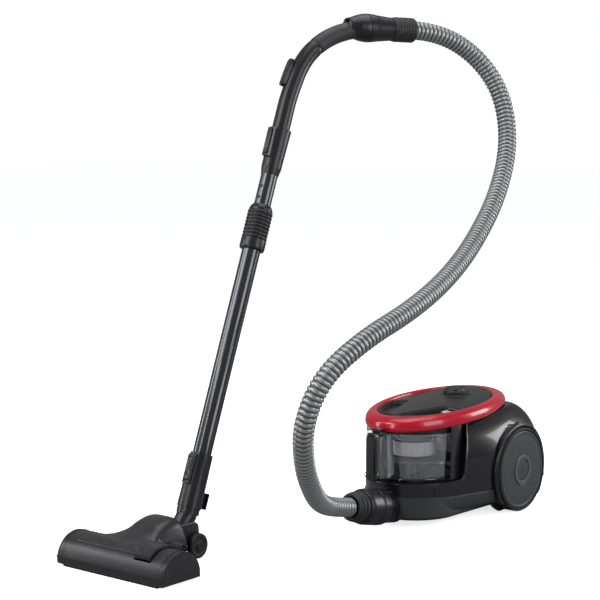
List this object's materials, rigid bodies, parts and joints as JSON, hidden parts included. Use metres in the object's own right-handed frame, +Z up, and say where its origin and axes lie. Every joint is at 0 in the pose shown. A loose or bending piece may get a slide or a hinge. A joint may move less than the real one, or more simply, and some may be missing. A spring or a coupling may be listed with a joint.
{
  "type": "canister vacuum cleaner",
  "caption": "Bagless canister vacuum cleaner with a clear dust bin, red trim ring, ribbed hose, telescopic wand and floor nozzle.",
  "frame": {"origin": "on the floor under the middle of the object's box, the hose left out", "axes": "+Z up; the machine and its nozzle face -Y, so +Y is the machine's rear and the direction it is pulled away from; +X is the machine's left side"},
  "size_m": [0.4848, 0.999, 0.9966],
  "materials": {
    "gloss_black": "gloss",
    "satin_black": "satin",
    "dark_grey": "satin",
    "ring_red": "gloss",
    "smoked_clear": "clear gloss",
    "hose_grey": "satin",
    "tube_metal": "gloss",
    "tyre": "matte",
    "rubber": "matte",
    "inner_metal": "brushed",
    "inner_plastic": "matte",
    "foam": "open foam",
    "label": "satin",
    "bristle": "bristle"
  },
  "bodies": {
    "canister": {"body_shell": "gloss_black", "lower_base": "dark_grey", "bin_tray": "dark_grey", "inlet_port": "gloss_black", "exhaust_grille": "satin_black", "parking_bracket": "satin_black", "rear_bumpers": "satin_black", "wheel_arches": "dark_grey", "rear_axles": "inner_metal", "trim_ring": "ring_red", "recess_floor": "gloss_black", "top_panel": "dark_grey", "label_plate": "label", "motor_housing": "inner_plastic", "motor_stator": "inner_metal", "premotor_filter": "foam", "reel_bracket": "inner_plastic", "exhaust_filter": "foam", "base_screws": "inner_metal", "cord_outlet": "satin_black", "hose_tube": "hose_grey"},
    "left_wheel": {"left_wheel": "dark_grey", "left_tyre": "tyre"},
    "right_wheel": {"right_wheel": "dark_grey", "right_tyre": "tyre"},
    "castor_swivel": {"castor_fork": "satin_black"},
    "castor_roll": {"castor_wheel": "tyre"},
    "motor_spin": {"motor_rotor": "inner_metal"},
    "reel": {"cord_reel": "inner_plastic"},
    "knob": {"power_knob": "gloss_black"},
    "dust_bin": {"bin_shell": "smoked_clear", "bin_lid": "satin_black", "bin_seal": "rubber", "cyclone_cone": "inner_plastic", "mesh_grille": "satin_black", "bin_handle_window": "smoked_clear", "bin_handle_spine": "gloss_black"},
    "bin_button": {"bin_release_button": "gloss_black"},
    "cuff": {"hose_cuff": "gloss_black", "cuff_bellows": "rubber"},
    "grip": {"grip_coupling": "satin_black", "grip_pipe": "satin_black", "grip_bend": "satin_black", "upper_tube": "tube_metal"},
    "slider": {"suction_slider": "dark_grey"},
    "grip_catch": {"grip_button": "dark_grey"},
    "hose_end": {"hose_connector": "satin_black", "connector_sleeve": "rubber"},
    "wand": {"lower_tube": "tube_metal", "neck_socket": "satin_black"},
    "collar": {"tube_collar": "satin_black"},
    "neck_catch": {"neck_button": "dark_grey"},
    "nozzle_neck": {"elbow": "satin_black"},
    "nozzle": {"neck_cover": "dark_grey", "head_cover": "dark_grey", "sole_plate": "satin_black", "end_caps": "satin_black"},
    "nozzle_roll": {"nozzle_wheels": "satin_black"},
    "brush": {"brush_strips": "bristle"},
    "pedal": {"floor_pedal": "dark_grey"}
  },
  "joints": [
    {"name": "left_wheel_roll", "type": "hinge", "parent": "canister", "child": "left_wheel", "pos_m": [0.0705, 0.3785, 0.085], "axis": [1, 0, 0], "continuous": true},
    {"name": "right_wheel_roll", "type": "hinge", "parent": "canister", "child": "right_wheel", "pos_m": [0.0705, 0.3785, 0.085], "axis": [1, 0, 0], "continuous": true},
    {"name": "castor_swivel_turn", "type": "hinge", "parent": "canister", "child": "castor_swivel", "pos_m": [0.0705, 0.1735, 0], "axis": [0, 0, 1], "continuous": true},
    {"name": "castor_wheel_roll", "type": "hinge", "parent": "castor_swivel", "child": "castor_roll", "pos_m": [0.0705, 0.1835, 0.013], "axis": [1, 0, 0], "continuous": true},
    {"name": "motor_spin_turn", "type": "hinge", "parent": "canister", "child": "motor_spin", "pos_m": [0.0705, 0.3785, 0.12], "axis": [0, 1, 0], "continuous": true},
    {"name": "reel_turn", "type": "hinge", "parent": "canister", "child": "reel", "pos_m": [0.0705, 0.4345, 0.1], "axis": [1, 0, 0], "continuous": true},
    {"name": "knob_turn", "type": "hinge", "parent": "canister", "child": "knob", "pos_m": [0.0705, 0.34366, 0.23225], "axis": [0, -0.0593, 0.9982], "range_deg": [0, 270]},
    {"name": "bin_slide", "type": "slide", "parent": "canister", "child": "dust_bin", "axis": [0, -1, 0], "range_m": [0, 0.06]},
    {"name": "bin_button_press", "type": "slide", "parent": "dust_bin", "child": "bin_button", "axis": [0, 0, -1], "range_m": [0, 0.003], "stiffness_N_per_m": 300, "springref_m": -0.002},
    {"name": "cuff_swivel", "type": "hinge", "parent": "canister", "child": "cuff", "pos_m": [0.0705, 0.0785, 0.0433], "axis": [0, -0.9877, 0.1564], "continuous": true},
    {"name": "wand_lift", "type": "slide", "parent": "canister", "child": "grip", "axis": [0, 0.3584, 0.9336], "range_m": [0, 0.25], "deforming": ["hose_tube"]},
    {"name": "suction_slide", "type": "slide", "parent": "grip", "child": "slider", "axis": [0.0582, 0.4578, 0.8871], "range_m": [0, 0.018]},
    {"name": "grip_button_press", "type": "slide", "parent": "grip", "child": "grip_catch", "axis": [0, 0.9336, -0.3584], "range_m": [0, 0.0025], "stiffness_N_per_m": 300, "springref_m": -0.002},
    {"name": "hose_end_swivel", "type": "hinge", "parent": "grip", "child": "hose_end", "pos_m": [0.02019, 0.25417, 0.96638], "axis": [0.4477, 0.8939, -0.021], "continuous": true},
    {"name": "tube_telescope", "type": "slide", "parent": "grip", "child": "wand", "axis": [0, -0.3584, -0.9336], "range_m": [0, 0.25]},
    {"name": "collar_slide", "type": "slide", "parent": "wand", "child": "collar", "axis": [0, 0.3584, 0.9336], "range_m": [0, 0.008], "stiffness_N_per_m": 600, "springref_m": -0.003},
    {"name": "neck_button_press", "type": "slide", "parent": "wand", "child": "neck_catch", "axis": [0, 0.9336, -0.3584], "range_m": [0, 0.0025], "stiffness_N_per_m": 300, "springref_m": -0.002},
    {"name": "neck_swivel", "type": "hinge", "parent": "wand", "child": "nozzle_neck", "pos_m": [-0.0845, -0.29483, 0.08562], "axis": [0, 0.3584, 0.9336], "range_deg": [-90, 90]},
    {"name": "nozzle_tilt", "type": "hinge", "parent": "nozzle_neck", "child": "nozzle", "pos_m": [-0.0845, -0.3245, 0.046], "axis": [1, 0, 0], "range_deg": [-20, 50]},
    {"name": "nozzle_wheels_roll", "type": "hinge", "parent": "nozzle", "child": "nozzle_roll", "pos_m": [-0.0845, -0.3085, 0.023], "axis": [1, 0, 0], "continuous": true},
    {"name": "pedal_rock", "type": "hinge", "parent": "nozzle", "child": "pedal", "pos_m": [-0.0845, -0.3905, 0.046], "axis": [1, 0, 0], "range_deg": [0, 3.5]},
    {"name": "brush_drop", "type": "slide", "parent": "nozzle", "child": "brush", "axis": [0, 0, -1], "range_m": [0, 0.0046]}
  ],
  "couplings": [
    {"joint": "tube_telescope", "follows": "wand_lift", "ratio": 1},
    {"joint": "brush_drop", "follows": "pedal_rock", "m_per_rad": 0.07367}
  ]
}
